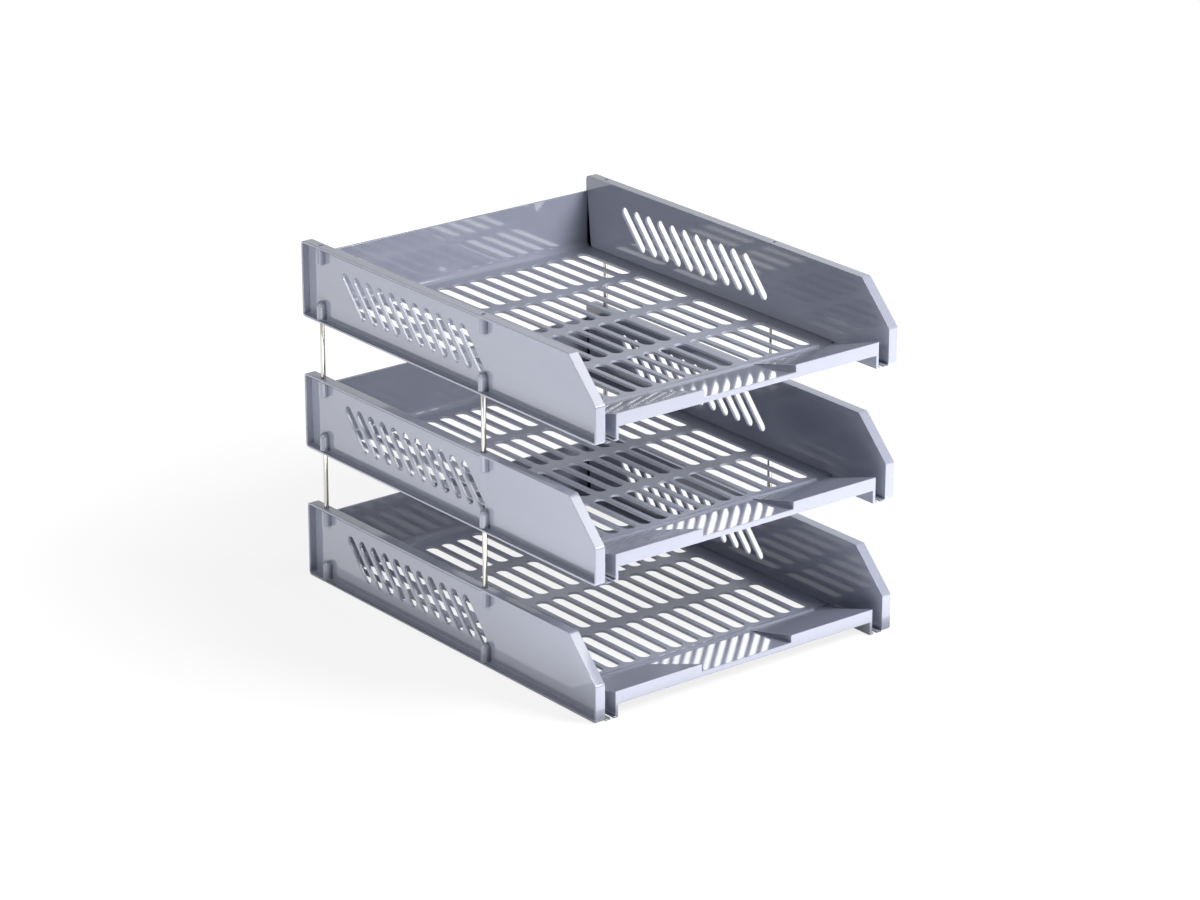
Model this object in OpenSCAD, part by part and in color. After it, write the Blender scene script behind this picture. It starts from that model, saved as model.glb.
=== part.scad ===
// Three-tier document tray: three open trays stand above each other on thin steel rods.
// Each tray is a slotted base between two side panels, and the rods push into sockets in the panels.
// Front is at -Y, the origin is the centre of the footprint on the desk, and sizes are in millimetres.

/* [Overall] */
// Width across the rims of the two side panels
tray_w = 266; // [240:1:320]
// Depth from the front faces of the panels to their back faces
tray_d = 340; // [320:1:420]
// Free height between the panels of two tiers
tier_gap = 43; // [30:0.5:80]

/* [Side panels] */
// Height of a side panel
panel_h = 57; // [52:0.5:80]
// Wall of the rim that runs around a panel
rim_t = 1.8; // [1.2:0.1:2.4]
// Wall of the flat web inside the rim
web_t = 2.2; // [1.9:0.1:3]
// Radius of the two back corners of a panel
corner_r = 3; // [2:0.5:6]
// Radius of the corners around the slanted front edge
front_r = 2.5; // [2:0.5:4]
// Depth that the slanted front edge takes off the top
slant_d = 29.5; // [20:0.5:40]
// Height of the upright front edge below the slant
front_h = 27; // [22:0.5:36]
// Thickness of the web's foot below the groove that holds the floor
foot_lip = 0.9; // [0.6:0.1:1.2]

/* [Side slots] */
// Length of a slanted slot, round ends included
vent_l = 37.8; // [30:0.2:44]
// Width of a slanted slot
vent_w = 6.9; // [4:0.1:8]
// Distance from one slanted slot to the next
vent_pitch = 13.9; // [13:0.1:18]
// Lean of the slots from upright, in degrees
vent_lean = 41.7; // [20:0.1:45]
// Height of the middle of the slots above the foot of the panel
vent_z = 27.6; // [26:0.2:29]
// Distance from the front rod to the middle of the first slot
vent_start = 15.5; // [14:0.5:25]
// Least distance from the middle of the last slot to the back rod
vent_end = 36; // [25:0.5:60]

/* [Rods and sockets] */
// Diameter of a rod
rod_d = 3.5; // [2.5:0.1:5]
// Depth that a rod goes into each socket
rod_in = 11.6; // [8:0.1:14]
// Radial play of a rod in its socket
rod_play = 0.05; // [0.02:0.01:0.1]
// Chamfer at the mouth of a socket
mouth_c = 0.4; // [0.2:0.1:0.6]
// Height of the tapered end of a socket
tip_h = 1; // [0.6:0.1:1.2]
// Wall around a socket
boss_wall = 1.8; // [1.2:0.1:3]
// Material that closes the end of an upper socket, the tapered end included
seat_t = 2.2; // [1.8:0.1:4]
// Distance that a socket's boss stays inside both faces of its panel
boss_inset = 0.4; // [0.2:0.1:1]
// Distance from the front faces to the front rods
rod_front = 129; // [110:1:150]
// Distance from the back faces to the back rods
rod_back = 18.5; // [14:0.5:30]

/* [Tray base] */
// Thickness of the floor and of the ramp
floor_t = 2; // [1.6:0.1:3]
// Play between the base and each panel
side_play = 0.15; // [0.1:0.05:0.4]
// Reach of the floor's tongue into the groove of a panel
tongue_w = 1; // [0.6:0.1:1.2]
// Thickness of the back wall
wall_t = 2; // [1.4:0.1:3]
// Height of the back wall
wall_h = 45; // [25:0.5:52]
// Radius of the hollow corner where the floor meets the back wall
wall_fillet = 5; // [2:0.5:8]

/* [Floor slots] */
// Length of a floor slot, round ends included
slot_l = 58; // [40:1:62]
// Width of a floor slot
slot_w = 9.8; // [6:0.1:11]
// Distance from one column of slots to the next
slot_pitch_x = 14.3; // [12.5:0.1:20]
// Distance from one row of slots to the next
slot_pitch_y = 67.6; // [66:0.1:80]
// Least floor left beside the outer columns
slot_side = 12; // [8:0.5:24]
// Distance from the foot of the ramp to the first row
slot_front = 7; // [4:0.5:12]
// Least floor left behind the last row
slot_back = 8; // [6:0.5:20]

/* [Front ramp] */
// Depth of the ramp that rises to the front
ramp_d = 57.5; // [50:0.5:70]
// Height of the top of the ramp
lip_z = 19.5; // [16:0.5:21]
// Height of the bottom of the front strip
lip_low = 9.7; // [6:0.1:11]
// Thickness of the front strip
lip_t = 2; // [1.4:0.1:3]
// Thickness of the skirts under both ends of the ramp
skirt_t = 2.4; // [1.6:0.1:4]
// Gap between a skirt and the web of the panel beside it
ramp_gap = 9; // [8.5:0.1:14]
// Reach of the foot along a skirt
foot_w = 1.6; // [1:0.1:2.2]
// Thickness of that foot
foot_t = 1.2; // [0.8:0.1:2]
// Width of the runner that goes on from the floor along the panel
runner_w = 4.4; // [3:0.1:5.5]
// Thickness of that runner
runner_t = 0.9; // [0.6:0.1:1.6]
// Radius of the bead that lies where the ramp begins
bead_r = 5; // [4:0.1:6]
// Height of the bead above the floor
bead_h = 2.3; // [1.5:0.1:2.4]
// Distance from the middle of the bead to the foot of the ramp
bead_y = 2.5; // [1.5:0.1:3]
// Distance that the bead stops short of the skirts
bead_end = 8; // [4:0.5:20]

/* [Thumb notch] */
// Width of the notch in the front strip
notch_w = 80.4; // [50:0.2:120]
// Depth of the notch below the top of the strip
notch_d = 5.5; // [3:0.1:6]
// Distance that the scoop behind the notch reaches back
scoop_d = 55; // [30:0.5:55]
// Widening of the scoop towards its back, on each side
scoop_flare = 7.8; // [0:0.1:12]

/* [Hidden] */

$fn = 48;
cut = 1;
plastic = [0.60, 0.61, 0.67];
steel = [0.80, 0.80, 0.76];

tier_pitch = panel_h + tier_gap;
boss_d = rod_d + 2 * rod_play + 2 * boss_wall;
rim_w = boss_d + 2 * boss_inset;
web_x = tray_w / 2 - rim_w;
rod_x = web_x + rim_w / 2;
rod_ys = [rod_front, tray_d - rod_back];
rod_l = tier_gap + 2 * rod_in;
boss_l = rod_in + seat_t;

vent_room = rod_ys[1] - rod_ys[0] - vent_start - vent_end;
vent_n = floor(vent_room / vent_pitch) + 1;

floor_w = 2 * (web_x - side_play);
tongue_d = tray_d - corner_r - ramp_d;
slot_nx = floor((floor_w - 2 * slot_side - slot_w) / slot_pitch_x) + 1;
slot_ny = floor((tray_d - wall_t - slot_back - ramp_d - slot_front - slot_l) / slot_pitch_y) + 1;
slot_y = ramp_d + slot_front + slot_l / 2;

ramp_w = 2 * (web_x - ramp_gap);
notch_z = lip_z - notch_d;
scoop_y = min(scoop_d, ramp_d - floor_t);
scoop_rise = (notch_z - ramp_z(scoop_y)) / scoop_y;

// Height of the ramp's upper face at a distance from the front
function ramp_z(y) = lip_z + (floor_t - lip_z) * y / ramp_d;

// Points of the arc that rounds the corner b between the points a and c
function arc_corner(a, b, c, r, steps = 8) =
  let (
    u = (a - b) / norm(a - b),
    v = (c - b) / norm(c - b),
    half = acos(u * v) / 2,
    middle = b + (u + v) / norm(u + v) * r / sin(half),
    start = b + u * r / tan(half) - middle,
    finish = b + v * r / tan(half) - middle,
    turn = 90 - half
  )
  [for (i = [0 : steps])
    let (t = i / steps)
    middle + (start * sin(2 * turn * (1 - t)) + finish * sin(2 * turn * t)) / sin(2 * turn)];

// Corners of a panel's side view, moved inwards by a wall
function panel_corners(inset) =
  let (
    rise = panel_h - front_h,
    slant = norm([slant_d, rise])
  )
  [
    [inset, inset],
    [tray_d - inset, inset],
    [tray_d - inset, panel_h - inset],
    [(inset * slant + slant_d * (rise - inset)) / rise, panel_h - inset],
    [inset, front_h + inset * (rise - slant) / slant_d]
  ];

// A panel's side view with rounded corners
module panel_outline(inset) {
  p = panel_corners(inset);
  n = len(p);
  inner = min(rim_t, inset);
  radii = [for (r = [front_r, corner_r, corner_r, front_r, front_r]) r - inner];
  polygon([for (i = [0 : n - 1]) each arc_corner(p[(i + n - 1) % n], p[i], p[(i + 1) % n], radii[i])]);
}

// Stands a drawing of the side view up and gives it a width along X
module side_extrude(width) {
  rotate([90, 0, 90])
    linear_extrude(width)
      children();
}

// A slot with round ends that runs along Y
module slot_outline(length, width) {
  square([width, length - width], center = true);
  for (end = [-1, 1])
    translate([0, end * (length - width) / 2])
      circle(d = width);
}

// The rim and the slotted web of a panel, with the inner face of the web at X = 0
module panel_shell() {
  difference() {
    side_extrude(rim_w)
      panel_outline(0);
    translate([web_t, 0, 0])
      side_extrude(rim_w)
        panel_outline(rim_t);
    for (i = [0 : vent_n - 1])
      translate([-cut, rod_ys[0] + vent_start + i * vent_pitch, vent_z])
        side_extrude(web_t + 2 * cut)
          rotate(-vent_lean)
            slot_outline(vent_l, vent_w);
  }
}

// The bosses around the sockets: flat ends hang from the top rim, domed ones stand on the bottom rim
module panel_bosses() {
  for (y = rod_ys)
    translate([rim_w / 2, y, 0]) {
      translate([0, 0, panel_h - boss_l])
        cylinder(d = boss_d, h = boss_l - rim_t / 2);
      translate([0, 0, rim_t / 2])
        cylinder(d = boss_d, h = rod_in - rim_t / 2);
      translate([0, 0, rod_in])
        sphere(d = boss_d);
    }
}

// The hollow of a socket from its mouth upwards: a chamfer, the bore for the rod and a tapered end
module socket() {
  socket_r = rod_d / 2 + rod_play;
  rotate_extrude()
    polygon([
      [0, -cut],
      [socket_r + mouth_c + cut, -cut],
      [socket_r, mouth_c],
      [socket_r, rod_in],
      [socket_r - tip_h, rod_in + tip_h],
      [0, rod_in + tip_h]
    ]);
}

module panel_sockets() {
  for (y = rod_ys)
    translate([rim_w / 2, y, 0]) {
      socket();
      translate([0, 0, panel_h])
        mirror([0, 0, 1])
          socket();
    }
}

// The groove along the foot of the web, whose lower lip carries the tongue of the floor
module panel_groove() {
  translate([-cut, ramp_d - side_play, foot_lip])
    cube([cut + tongue_w + side_play, tongue_d + 2 * side_play, floor_t - foot_lip + side_play]);
}

module right_panel(tier) {
  color(plastic)
    translate([web_x, -tray_d / 2, tier * tier_pitch])
      difference() {
        union() {
          panel_shell();
          panel_bosses();
        }
        panel_sockets();
        panel_groove();
      }
}

module left_panel(tier) {
  color(plastic)
    mirror([1, 0, 0])
      right_panel(tier);
}

module floor_plate() {
  linear_extrude(floor_t)
    difference() {
      translate([-floor_w / 2, ramp_d])
        square([floor_w, tray_d - ramp_d]);
      for (i = [0 : slot_nx - 1], j = [0 : slot_ny - 1])
        translate([(i - (slot_nx - 1) / 2) * slot_pitch_x, slot_y + j * slot_pitch_y])
          slot_outline(slot_l, slot_w);
    }
}

module back_wall() {
  translate([-floor_w / 2, tray_d - wall_t, 0])
    cube([floor_w, wall_t, wall_h]);
  translate([-floor_w / 2, tray_d - wall_t - wall_fillet, floor_t])
    difference() {
      cube([floor_w, wall_fillet, wall_fillet]);
      translate([-cut, 0, wall_fillet])
        rotate([0, 90, 0])
          cylinder(r = wall_fillet, h = floor_w + 2 * cut);
    }
}

// The sloping plate with the front strip that hangs from its upper edge
module ramp_plate() {
  translate([-ramp_w / 2, 0, 0])
    side_extrude(ramp_w)
      polygon([
        [0, lip_z],
        [ramp_d, floor_t],
        [ramp_d + floor_t, floor_t],
        [ramp_d + floor_t, 0],
        [ramp_d, 0],
        [lip_t, ramp_z(lip_t) - floor_t],
        [lip_t, lip_low],
        [0, lip_low]
      ]);
}

module ramp_skirts() {
  for (side = [0, 1])
    mirror([side, 0, 0])
      translate([ramp_w / 2 - skirt_t, 0, 0]) {
        side_extrude(skirt_t)
          polygon([[0, 0], [ramp_d + floor_t, 0], [ramp_d + floor_t, floor_t], [ramp_d, floor_t], [0, lip_z]]);
        cube([skirt_t + foot_w, ramp_d, foot_t]);
      }
}

// The thicker middle of the ramp that the scoop is cut from, with its back edge inside the ramp
module scoop_body() {
  half_w = notch_w / 2 + scoop_flare + floor_t;
  end_y = scoop_y + floor_t;
  translate([-half_w, 0, 0])
    side_extrude(2 * half_w)
      polygon([[0, lip_z - floor_t / 2], [0, notch_z - floor_t], [end_y, ramp_z(end_y) - floor_t / 2]]);
}

// The space of the scoop: a side view and a plan that widens towards the back, kept where both hold
module scoop_space() {
  widening = scoop_flare / scoop_y;
  front_y = -cut;
  back_y = scoop_y + floor_t / 4;
  front_w = notch_w / 2 + widening * front_y;
  back_w = notch_w / 2 + widening * back_y;
  intersection() {
    translate([-back_w, 0, 0])
      side_extrude(2 * back_w)
        polygon([
          [front_y, notch_z - scoop_rise * front_y],
          [back_y, notch_z - scoop_rise * back_y],
          [back_y, lip_z + cut],
          [front_y, lip_z + cut]
        ]);
    linear_extrude(lip_z + 2 * cut)
      polygon([[-front_w, front_y], [front_w, front_y], [back_w, back_y], [-back_w, back_y]]);
  }
}

// The bead across the beginning of the ramp: the cap of a cylinder, whose underside lies inside the plate
module floor_bead() {
  bead_w = ramp_w - 2 * bead_end;
  middle_y = ramp_d - bead_y;
  front_y = middle_y - bead_r;
  back_y = middle_y + bead_r;
  intersection() {
    translate([-bead_w / 2, middle_y, floor_t + bead_h - bead_r])
      rotate([0, 90, 0])
        cylinder(r = bead_r, h = bead_w);
    translate([-bead_w / 2 - cut, 0, 0])
      side_extrude(bead_w + 2 * cut)
        polygon([
          [front_y, ramp_z(front_y) - floor_t / 2],
          [ramp_d, floor_t / 2],
          [back_y, floor_t / 2],
          [back_y, lip_z],
          [front_y, lip_z]
        ]);
  }
}

// The tongues along both edges of the floor, which lie in the grooves of the panels
module floor_tongues() {
  root_x = floor_w / 2 - floor_t;
  for (side = [0, 1])
    mirror([side, 0, 0])
      translate([root_x, ramp_d, foot_lip])
        cube([web_x + tongue_w - root_x, tongue_d, floor_t - foot_lip]);
}

// The runners that go on from the floor to the front along the panels
module floor_runners() {
  for (side = [0, 1])
    mirror([side, 0, 0])
      translate([floor_w / 2 - runner_w, 0, 0])
        cube([runner_w, ramp_d + floor_t, runner_t]);
}

module tray_base(tier) {
  color(plastic)
    translate([0, -tray_d / 2, tier * tier_pitch])
      union() {
        difference() {
          union() {
            floor_plate();
            back_wall();
            ramp_plate();
            ramp_skirts();
            scoop_body();
            floor_tongues();
            floor_runners();
          }
          scoop_space();
        }
        floor_bead();
      }
}

// A rod between two tiers: side is -1 at the left, and y counts from the front
module rod(level, side, y) {
  color(steel)
    translate([side * rod_x, y - tray_d / 2, level * tier_pitch + panel_h - rod_in])
      cylinder(d = rod_d, h = rod_l);
}

tray_base(0);  // bottom_tray_base
left_panel(0);  // bottom_left_panel
right_panel(0);  // bottom_right_panel
tray_base(1);  // middle_tray_base
left_panel(1);  // middle_left_panel
right_panel(1);  // middle_right_panel
tray_base(2);  // top_tray_base
left_panel(2);  // top_left_panel
right_panel(2);  // top_right_panel
rod(0, -1, rod_ys[0]);  // lower_rod_front_left
rod(0, 1, rod_ys[0]);  // lower_rod_front_right
rod(0, -1, rod_ys[1]);  // lower_rod_back_left
rod(0, 1, rod_ys[1]);  // lower_rod_back_right
rod(1, -1, rod_ys[0]);  // upper_rod_front_left
rod(1, 1, rod_ys[0]);  // upper_rod_front_right
rod(1, -1, rod_ys[1]);  // upper_rod_back_left
rod(1, 1, rod_ys[1]);  // upper_rod_back_right
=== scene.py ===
import math

import bpy
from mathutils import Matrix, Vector


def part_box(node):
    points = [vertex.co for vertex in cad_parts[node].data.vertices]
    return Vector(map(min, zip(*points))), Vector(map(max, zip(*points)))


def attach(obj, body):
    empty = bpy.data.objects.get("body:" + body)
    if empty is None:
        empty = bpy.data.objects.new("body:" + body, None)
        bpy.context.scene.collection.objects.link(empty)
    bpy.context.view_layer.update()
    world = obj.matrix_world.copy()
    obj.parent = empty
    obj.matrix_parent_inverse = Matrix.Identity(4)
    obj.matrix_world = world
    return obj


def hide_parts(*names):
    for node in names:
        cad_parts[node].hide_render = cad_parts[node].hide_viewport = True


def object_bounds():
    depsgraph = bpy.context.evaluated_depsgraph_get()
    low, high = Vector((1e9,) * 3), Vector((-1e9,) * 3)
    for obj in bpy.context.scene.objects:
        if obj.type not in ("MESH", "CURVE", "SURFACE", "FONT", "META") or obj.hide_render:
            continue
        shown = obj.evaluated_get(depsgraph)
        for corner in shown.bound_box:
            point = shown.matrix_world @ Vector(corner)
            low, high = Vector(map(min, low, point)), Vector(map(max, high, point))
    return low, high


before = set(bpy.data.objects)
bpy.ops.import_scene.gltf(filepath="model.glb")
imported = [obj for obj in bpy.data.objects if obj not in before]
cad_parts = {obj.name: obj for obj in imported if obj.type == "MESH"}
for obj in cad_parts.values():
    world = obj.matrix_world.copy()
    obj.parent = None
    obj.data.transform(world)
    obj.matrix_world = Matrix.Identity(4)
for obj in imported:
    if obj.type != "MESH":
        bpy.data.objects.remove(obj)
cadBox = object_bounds()
scene = bpy.context.scene
print("frame loaded with", len(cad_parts), "nodes")

# places on the trays that looks and shapes below go by, those in a tier counted from its foot
millimetre = 0.001
frontY = cadBox[0].y
outerX = cadBox[1].x
tiers = ("bottom", "middle", "top")
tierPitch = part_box("middle_tray_base")[0].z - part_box("bottom_tray_base")[0].z
rampFoot = frontY + 57.5 * millimetre
beadFront = rampFoot - 5.1 * millimetre
beadBack = rampFoot + 2.0 * millimetre
beadEnd = 108.1 * millimetre
floorSide = 112 * millimetre
floorFront = rampFoot + 4 * millimetre
floorTop = 3 * millimetre
runnerTop = 1 * millimetre
tongueSide = 123.5 * millimetre
wallMiddle = 30 * millimetre
rimInner = outerX - 5.5 * millimetre
webLow, webHigh = 11 * millimetre, 42.9 * millimetre
webSlant = -25.2 * millimetre      # y + z in front of the foremost slanted slot
webBack = 135 * millimetre
rodBoxes = [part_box(f"lower_rod_{row}_right") for row in ("front", "back")]
socketX = sum(corner.x for corner in rodBoxes[0]) / 2
socketYs = [sum(corner.y for corner in box) / 2 for box in rodBoxes]
socketReach = 2.6 * millimetre


def linear(hexColour):
    # sRGB hex to the linear colour that sockets take
    parts = [int(hexColour[i:i + 2], 16) / 255 for i in (1, 3, 5)]
    return tuple(c / 12.92 if c <= 0.04045 else ((c + 0.055) / 1.055) ** 2.4 for c in parts) + (1.0,)


def addNode(tree, kind, links=None, values=None, **settings):
    node = tree.nodes.new(kind)
    for name, value in settings.items():
        setattr(node, name, value)
    for socket, value in (values or {}).items():
        node.inputs[socket].default_value = value
    for socket, source in (links or {}).items():
        tree.links.new(source, node.inputs[socket])
    return node


def newMaterial(name):
    material = bpy.data.materials.new(name)
    material.use_nodes = True
    material.node_tree.nodes.clear()
    return material, material.node_tree


# camera, from the corners of the trays in the photograph
photoView = {
    "place": (-1.73659, -2.20995, 1.17364),
    "azimuth": -38.2253,
    "elevation": 20.6127,
    "roll": -0.0167,
    "lens": 126.43,
    "sensor": 36.0,
    "farthest": 50,
}
bpy.ops.object.camera_add(
    location=photoView["place"],
    rotation=(
        math.radians(90 - photoView["elevation"]),
        math.radians(photoView["roll"]),
        math.radians(photoView["azimuth"]),
    ),
)
camera = bpy.context.object
camera.name = "photoCamera"
camera.data.lens = photoView["lens"]
camera.data.sensor_width = photoView["sensor"]
camera.data.dof.use_dof = False
camera.data.clip_end = photoView["farthest"]
scene.camera = camera
print("camera set")

# nearly all values of a noise texture lie between these
noiseRange = (0.3, 0.7)


# injection-moulded polystyrene: an even blue-grey with a bright wet-looking gloss,
# faint clouds where the melt flowed, and a skin that is never quite flat;
# the floors of the trays are satin, so that they blur what they mirror
plasticLook = {
    "colour": "#8D909F",
    "flowColour": "#858897",
    "flowSize": 0.070,
    "flowStretch": (1.0, 0.35, 1.6),
    "skinSize": 0.018,
    "skinDepth": 0.000004,
    "skinStrength": 0.35,
    "grainSize": 0.0016,
    "gloss": (0.055, 0.07),
    "satin": 0.26,
    "satinTop": 0.0028,    # height above a tier's foot up to which the moulding is satin
    "ior": 1.55,
}


def mouldedPolystyrene():
    look = plasticLook
    material, tree = newMaterial("mouldedPolystyreneBlueGrey")
    place = addNode(tree, "ShaderNodeTexCoord").outputs["Object"]
    stretched = addNode(tree, "ShaderNodeMapping", {"Vector": place}, {"Scale": look["flowStretch"]})
    flow = addNode(
        tree, "ShaderNodeTexNoise", {"Vector": stretched.outputs["Vector"]},
        {"Scale": 1 / look["flowSize"], "Detail": 3.0, "Roughness": 0.55, "Distortion": 0.6},
    )
    colour = addNode(
        tree, "ShaderNodeMix", {"Factor": flow.outputs["Fac"]},
        {"A": linear(look["colour"]), "B": linear(look["flowColour"])}, data_type="RGBA",
    )
    grain = addNode(
        tree, "ShaderNodeTexNoise", {"Vector": place}, {"Scale": 1 / look["grainSize"], "Detail": 2.0},
    )
    gloss = addNode(
        tree, "ShaderNodeMapRange", {"Value": grain.outputs["Fac"]},
        {
            "From Min": noiseRange[0], "From Max": noiseRange[1],
            "To Min": look["gloss"][0], "To Max": look["gloss"][1],
        },
    )
    axes = addNode(tree, "ShaderNodeSeparateXYZ", {"Vector": place})
    height = addNode(tree, "ShaderNodeMath", {0: axes.outputs["Z"]}, {1: tierPitch}, operation="MODULO")
    low = addNode(
        tree, "ShaderNodeMath", {0: height.outputs["Value"]}, {1: look["satinTop"]}, operation="LESS_THAN",
    )
    behind = addNode(
        tree, "ShaderNodeMath", {0: axes.outputs["Y"]}, {1: beadBack}, operation="GREATER_THAN",
    )
    satin = addNode(
        tree, "ShaderNodeMath", {0: low.outputs["Value"], 1: behind.outputs["Value"]}, operation="MULTIPLY",
    )
    roughness = addNode(
        tree, "ShaderNodeMath", {0: satin.outputs["Value"], 2: gloss.outputs["Result"]}, {1: look["satin"]},
        operation="MULTIPLY_ADD",
    )
    skin = addNode(
        tree, "ShaderNodeTexNoise", {"Vector": place}, {"Scale": 1 / look["skinSize"], "Detail": 1.0},
    )
    bump = addNode(
        tree, "ShaderNodeBump", {"Height": skin.outputs["Fac"]},
        {"Strength": look["skinStrength"], "Distance": look["skinDepth"]},
    )
    shader = addNode(
        tree, "ShaderNodeBsdfPrincipled",
        {
            "Base Color": colour.outputs["Result"],
            "Roughness": roughness.outputs["Value"],
            "Normal": bump.outputs["Normal"],
        },
        {"IOR": look["ior"]},
    )
    addNode(tree, "ShaderNodeOutputMaterial", {"Surface": shader.outputs["BSDF"]})
    return material


# drawn steel wire with a bright zinc plating: mirror-like but streaked along its length
rodLook = {
    "colour": "#B4B2AC",
    "streakColour": "#8C8A85",
    "streakWidth": 0.0006,
    "streakStretch": (1.0, 1.0, 0.03),
    "gloss": (0.06, 0.15),
}


def platedSteelWire():
    look = rodLook
    material, tree = newMaterial("brightPlatedSteelWire")
    place = addNode(tree, "ShaderNodeTexCoord").outputs["Object"]
    drawn = addNode(tree, "ShaderNodeMapping", {"Vector": place}, {"Scale": look["streakStretch"]})
    streaks = addNode(
        tree, "ShaderNodeTexNoise", {"Vector": drawn.outputs["Vector"]},
        {"Scale": 1 / look["streakWidth"], "Detail": 2.0},
    )
    colour = addNode(
        tree, "ShaderNodeMix", {"Factor": streaks.outputs["Fac"]},
        {"A": linear(look["colour"]), "B": linear(look["streakColour"])}, data_type="RGBA",
    )
    gloss = addNode(
        tree, "ShaderNodeMapRange", {"Value": streaks.outputs["Fac"]},
        {
            "From Min": noiseRange[0], "From Max": noiseRange[1],
            "To Min": look["gloss"][0], "To Max": look["gloss"][1],
        },
    )
    shader = addNode(
        tree, "ShaderNodeBsdfPrincipled",
        {"Base Color": colour.outputs["Result"], "Roughness": gloss.outputs["Result"]},
        {"Metallic": 1.0},
    )
    addNode(tree, "ShaderNodeOutputMaterial", {"Surface": shader.outputs["BSDF"]})
    return material


plastic = mouldedPolystyrene()
rodSteel = platedSteelWire()
print("materials made")


# mouldings: the CAD shapes with the small radii that a mould leaves on their edges
mouldEdges = {
    "sharp": 35,          # degrees from which an edge gets a radius
    "crease": 3,          # degrees from which flat faces of the ramp meet in a crease
    "creaseLength": 0.005,
    "creaseGap": 0.0005,  # clearance between creases and the bead
    "merge": 0.000004,    # corners of the CAD shape closer than this are one
    "flat": 0.6,          # degrees under which faces of the CAD shape are one
    "fine": 0.0002,       # bead, grooves and the other small edges
    "slots": 0.0004,      # slots in the floor and in the webs
    "broad": 0.00045,     # rims, ramp, front strip and wall top
    "steps": 3,
    "normalWeight": 100,  # how far large faces lead the shading
}


def selectSharpEdges(piece, angle, where, shortest=0.0):
    # selects the edges that are sharp and long enough and whose two ends pass the test on their place
    bpy.ops.object.mode_set(mode="EDIT")
    bpy.ops.mesh.select_mode(type="EDGE")
    bpy.ops.mesh.select_all(action="DESELECT")
    bpy.ops.mesh.edges_select_sharp(sharpness=math.radians(angle))
    bpy.ops.object.mode_set(mode="OBJECT")
    mesh = piece.data
    for edge in mesh.edges:
        if edge.select:
            ends = [mesh.vertices[i].co for i in edge.vertices]
            edge.select = all(where(co) for co in ends) and (ends[0] - ends[1]).length > shortest
    bpy.ops.object.mode_set(mode="EDIT")


def softenedCopy(nodeName, pieceName, broadPlace, slotPlace, plainPlace, creasePlace):
    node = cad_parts[nodeName]
    piece = bpy.data.objects.new(pieceName, node.data.copy())
    scene.collection.objects.link(piece)
    bpy.ops.object.select_all(action="DESELECT")
    piece.select_set(True)
    bpy.context.view_layer.objects.active = piece
    bpy.ops.object.mode_set(mode="EDIT")
    bpy.ops.mesh.select_all(action="SELECT")
    bpy.ops.mesh.customdata_custom_splitnormals_clear()
    bpy.ops.mesh.remove_doubles(threshold=mouldEdges["merge"])
    bpy.ops.mesh.dissolve_limited(angle_limit=math.radians(mouldEdges["flat"]))
    selectSharpEdges(piece, mouldEdges["crease"], creasePlace, mouldEdges["creaseLength"])
    bpy.ops.mesh.mark_sharp()
    bpy.ops.object.mode_set(mode="OBJECT")
    for zone, where in (
        ("broad", broadPlace),
        ("slots", lambda co: slotPlace(co) and not broadPlace(co)),
        ("fine", lambda co: not slotPlace(co) and not broadPlace(co)),
    ):
        selectSharpEdges(piece, mouldEdges["sharp"], lambda co: where(co) and not plainPlace(co))
        bpy.ops.mesh.bevel(
            offset=mouldEdges[zone], segments=mouldEdges["steps"], profile=0.5,
            affect="EDGES", clamp_overlap=False,
        )
        bpy.ops.object.mode_set(mode="OBJECT")
    # bevel corners that lie outside the piece's own box are moved back to its faces
    low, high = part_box(nodeName)
    for vertex in piece.data.vertices:
        vertex.co = [min(max(c, least), most) for c, least, most in zip(vertex.co, low, high)]
    bpy.ops.object.shade_smooth_by_angle(angle=math.radians(mouldEdges["sharp"]))
    bpy.ops.object.modifier_add(type="WEIGHTED_NORMAL")
    piece.modifiers[-1].keep_sharp = True
    piece.modifiers[-1].weight = mouldEdges["normalWeight"]
    bpy.ops.object.modifier_apply(modifier=piece.modifiers[-1].name)
    return piece


def finishPiece(piece, material, nodeName, body):
    piece.data.materials.clear()
    piece.data.materials.append(material)
    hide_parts(nodeName)
    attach(piece, body)


def raisedCopy(piece, pieceName, rise):
    copy = bpy.data.objects.new(pieceName, piece.data.copy())
    scene.collection.objects.link(copy)
    for vertex in copy.data.vertices:
        vertex.co.z += rise
    return copy


def onRamp(co):
    # the ramp and its scoop, without the bead across them
    return co.y < beadBack and not (abs(co.x) < beadEnd and co.y > beadFront - mouldEdges["creaseGap"])


def inFloor(co):
    return abs(co.x) < floorSide and co.y > floorFront and co.z < floorTop


def inWeb(co):
    # around the slanted slots, clear of the sockets' bosses
    return webLow < co.z < webHigh and co.y + co.z > webSlant and co.y < webBack


def underFloor(co):
    # runners, tongues and the foot of the base, which stay as they are
    return not inFloor(co) and (co.z < runnerTop or abs(co.x) > tongueSide and co.z < floorTop)


def inSocket(co):
    # the sockets keep the chamfers of the CAD shape
    return min(math.hypot(abs(co.x) - socketX, co.y - y) for y in socketYs) < socketReach


def onFrontOrWall(co):
    # ramp and front strip, and the upper part of the back wall
    return co.y < beadFront or co.z > wallMiddle


def onRim(co):
    # the rim outside the web
    return abs(co.x) > rimInner


def nowhere(co):
    return False


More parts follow.
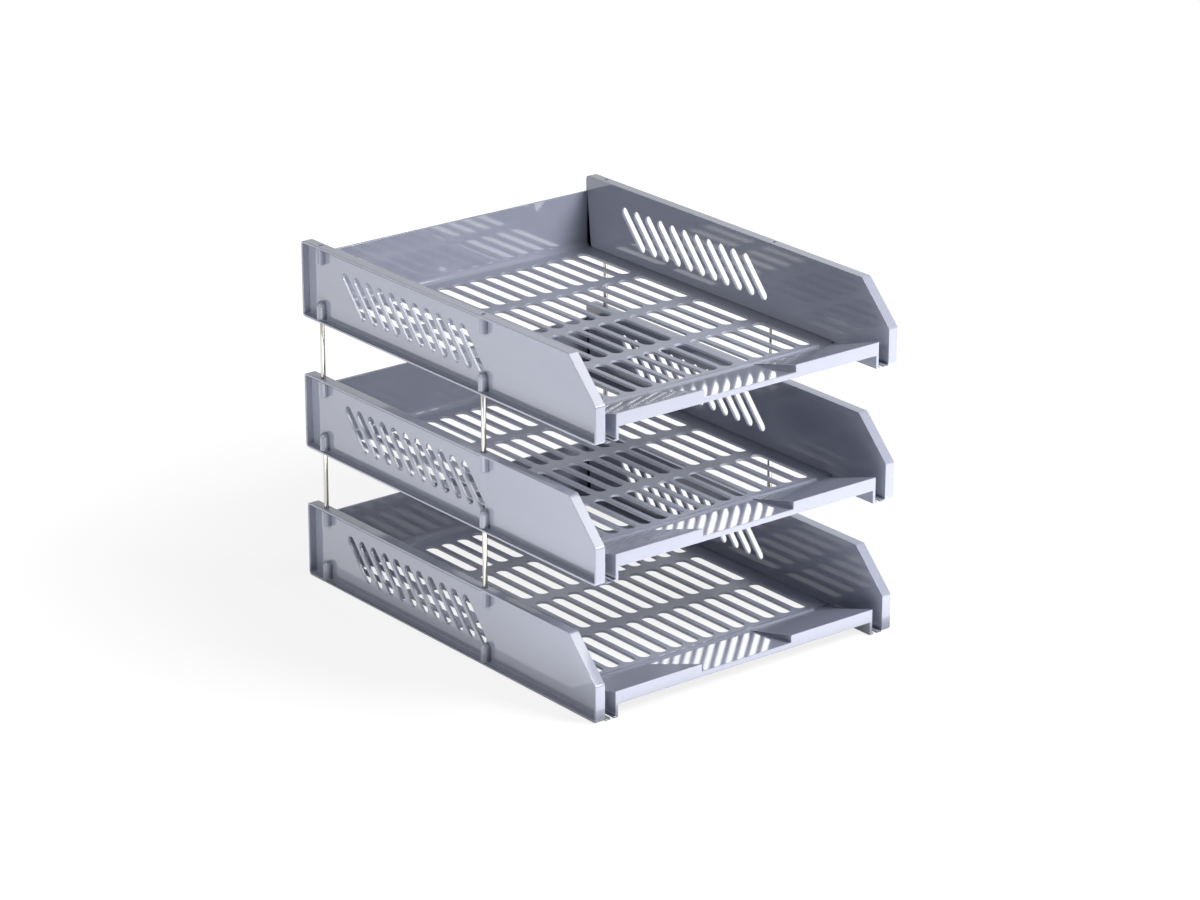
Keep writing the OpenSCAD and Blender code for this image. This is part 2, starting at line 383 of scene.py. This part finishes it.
# where each kind has broad radii, slots, plain edges and creases
mouldings = {
    "tray_base": (onFrontOrWall, inFloor, underFloor, onRamp),
    "left_panel": (onRim, inWeb, inSocket, nowhere),
    "right_panel": (onRim, inWeb, inSocket, nowhere),
}
for kind, places in mouldings.items():
    firstNode = "bottom_" + kind
    first = softenedCopy(firstNode, firstNode + "_moulding", *places)
    for tier in tiers:
        nodeName = tier + "_" + kind
        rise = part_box(nodeName)[0].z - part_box(firstNode)[0].z
        piece = first if tier == "bottom" else raisedCopy(first, nodeName + "_moulding", rise)
        finishPiece(piece, plastic, nodeName, tier + "_tier")
    print("moulding", kind, len(first.data.polygons), "faces, three times")


# rods: plated wire, cut off and broken at both ends
rodShape = {"sides": 40, "endRadius": 0.0004, "endSteps": 3, "endSharp": 60, "smooth": 40}


def plainRod(nodeName):
    low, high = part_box(nodeName)
    bpy.ops.object.select_all(action="DESELECT")
    bpy.ops.mesh.primitive_cylinder_add(
        vertices=rodShape["sides"], radius=(high.x - low.x) / 2,
        depth=high.z - low.z, location=(low + high) / 2,
    )
    piece = bpy.context.object
    piece.name = nodeName + "_wire"
    bpy.ops.object.transform_apply(location=True, rotation=True, scale=True)
    bpy.ops.object.mode_set(mode="EDIT")
    bpy.ops.mesh.select_mode(type="EDGE")
    bpy.ops.mesh.select_all(action="DESELECT")
    bpy.ops.mesh.edges_select_sharp(sharpness=math.radians(rodShape["endSharp"]))
    bpy.ops.mesh.bevel(offset=rodShape["endRadius"], segments=rodShape["endSteps"], affect="EDGES")
    bpy.ops.object.mode_set(mode="OBJECT")
    bpy.ops.object.shade_smooth_by_angle(angle=math.radians(rodShape["smooth"]))
    return piece


for level in ("lower", "upper"):
    for row in ("front", "back"):
        for side in ("left", "right"):
            nodeName = f"{level}_rod_{row}_{side}"
            finishPiece(plainRod(nodeName), rodSteel, nodeName, level + "_rods")
print("rods made")


# studio: white all round for the eye and for reflections, soft lamps for the object
studio = {
    "floorColour": "#DCDCDC",
    "floorSize": 14.0,
    "floorDrop": 0.0004,            # gap under the object, so that the two faces don't meet
    "floorGlow": 1.1,
    "floorShade": 0.25,             # share of real light and shadow that the eye sees close to the object
    "shadeReach": (0.20, 0.70),     # where that share starts to fade, and where the floor is plain white
    "ambient": 0.0,
    "lamps": {
        "rightSoftbox": {
            "place": (0.40, -0.85, 0.80), "aim": (0, 0, 0.15),
            "size": (0.4, 0.4), "watts": 13.5,
        },
        "highSoftbox": {
            "place": (0.42, -0.55, 1.10), "aim": (0, 0, 0.15),
            "size": (0.5, 0.5), "watts": 5.5,
        },
        "leftSoftbox": {
            "place": (-0.90, 0.05, 0.60), "aim": (-0.1, 0, 0.15),
            "size": (0.5, 0.4), "watts": 4.6,
        },
        # what a brightly lit white table and backdrop throw back at the object
        "tableFront": {
            "place": (0.275, -0.515, 0.004), "aim": (0.275, -0.515, 1),
            "size": (0.95, 0.67), "watts": 5.8,
        },
        "tableCorner": {
            "place": (-0.50, -0.25, 0.004), "aim": (-0.50, -0.25, 1),
            "size": (0.60, 0.30), "watts": 2.2,
        },
        "tableLeft": {
            "place": (-0.47, 0.365, 0.004), "aim": (-0.47, 0.365, 1),
            "size": (0.66, 0.97), "watts": 1.9,
        },
        "backdrop": {
            "place": (0.70, 0.85, 0.165), "aim": (0.1, 0.03, 0.165),
            "size": (1.2, 0.33), "watts": 2.6,
        },
    },
}


def seenRays(tree):
    # 1 for what the eye sees straight, in a mirror or through glass
    path = addNode(tree, "ShaderNodeLightPath")
    mirrored = addNode(
        tree, "ShaderNodeMath",
        {0: path.outputs["Is Camera Ray"], 1: path.outputs["Is Glossy Ray"]}, operation="MAXIMUM",
    )
    return addNode(
        tree, "ShaderNodeMath",
        {0: mirrored.outputs["Value"], 1: path.outputs["Is Transmission Ray"]}, operation="MAXIMUM",
    ).outputs["Value"]


world = bpy.data.worlds.new("whiteStudio")
scene.world = world
world.use_nodes = True
tree = world.node_tree
tree.nodes.clear()
ambient = addNode(tree, "ShaderNodeBackground", None, {"Color": (1, 1, 1, 1), "Strength": studio["ambient"]})
white = addNode(tree, "ShaderNodeBackground", None, {"Color": (1, 1, 1, 1), "Strength": 1.0})
seen = seenRays(tree)
mixed = addNode(tree, "ShaderNodeMixShader", {0: seen, 1: ambient.outputs[0], 2: white.outputs[0]})
addNode(tree, "ShaderNodeOutputWorld", {"Surface": mixed.outputs[0]})

bpy.ops.object.select_all(action="DESELECT")
bpy.ops.mesh.primitive_plane_add(size=studio["floorSize"], location=(0, 0, -studio["floorDrop"]))
floor = bpy.context.object
floor.name = "studioFloor"
floorPaint, tree = newMaterial("whiteStudioFloor")
paint = addNode(tree, "ShaderNodeBsdfDiffuse", None, {"Color": linear(studio["floorColour"])})
glow = addNode(tree, "ShaderNodeEmission", None, {"Color": (1, 1, 1, 1), "Strength": studio["floorGlow"]})
place = addNode(tree, "ShaderNodeTexCoord").outputs["Object"]
reach = addNode(tree, "ShaderNodeVectorMath", {0: place}, operation="LENGTH")
plain = addNode(
    tree, "ShaderNodeMapRange", {"Value": reach.outputs["Value"]},
    {
        "From Min": studio["shadeReach"][0], "From Max": studio["shadeReach"][1],
        "To Min": 1 - studio["floorShade"], "To Max": 1.0,
    },
    interpolation_type="SMOOTHSTEP",
)
share = addNode(tree, "ShaderNodeMath", {0: seenRays(tree), 1: plain.outputs["Result"]}, operation="MULTIPLY")
mixed = addNode(
    tree, "ShaderNodeMixShader", {0: share.outputs["Value"], 1: paint.outputs[0], 2: glow.outputs[0]},
)
addNode(tree, "ShaderNodeOutputMaterial", {"Surface": mixed.outputs[0]})
floor.data.materials.append(floorPaint)

for name, lamp in studio["lamps"].items():
    place, aim = Vector(lamp["place"]), Vector(lamp["aim"])
    turn = (aim - place).to_track_quat("-Z", "Y").to_euler()
    bpy.ops.object.light_add(type="AREA", location=place, rotation=turn)
    light = bpy.context.object
    light.name = name
    light.data.shape = "RECTANGLE"
    light.data.size, light.data.size_y = lamp["size"]
    light.data.energy = lamp["watts"]
    light.visible_camera = False

scene.view_settings.view_transform = "Standard"
print("studio lit")
